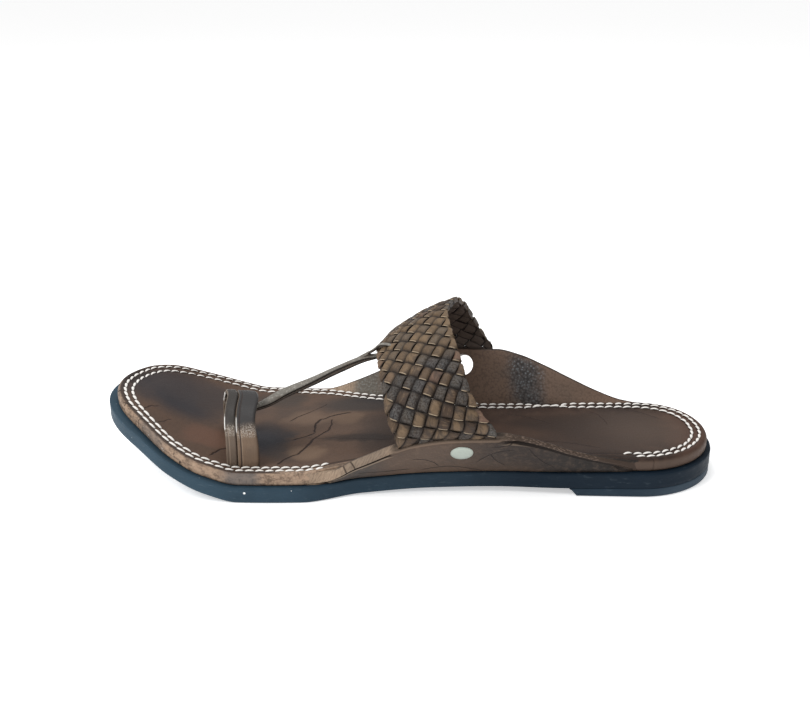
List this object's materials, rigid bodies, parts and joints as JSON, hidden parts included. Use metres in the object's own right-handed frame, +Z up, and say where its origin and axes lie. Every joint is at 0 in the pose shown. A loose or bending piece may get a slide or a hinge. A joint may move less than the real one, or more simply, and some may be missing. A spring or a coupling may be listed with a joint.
{
  "type": "sandal",
  "caption": "Open leather sandal with a plaited instep band held by side flaps, a big-toe ring and a strap between them, on a rubber sole with a heel lift.",
  "frame": {"origin": "on the ground, under the middle of the sandal's bounding box", "axes": "+X from the toe to the heel, +Y from the big-toe side to the outer side, +Z up from the ground"},
  "size_m": [0.2798, 0.1023, 0.0745],
  "materials": {
    "outsole": "dark blue-grey rubber, satin",
    "heel_lift": "dark blue-grey rubber, satin",
    "footbed": "burnished dark brown leather with black shading",
    "ear_medial": "burnished brown leather",
    "ear_lateral": "burnished brown leather",
    "instep_band": "brown leather strips, worn lighter on the high spots",
    "toe_ring": "brown leather, darker over the top",
    "toe_strap": "grey-brown leather",
    "ear_stud": "dull grey-white metal"
  },
  "bodies": {
    "root": {"outsole": "outsole", "heel_lift": "heel_lift", "footbed": "footbed", "ear_medial": "ear_medial", "ear_lateral": "ear_lateral", "instep_band": "instep_band", "toe_ring_wide": "toe_ring", "toe_ring_narrow": "toe_ring", "toe_strap": "toe_strap", "ear_stud": "ear_stud"}
  },
  "joints": []
}
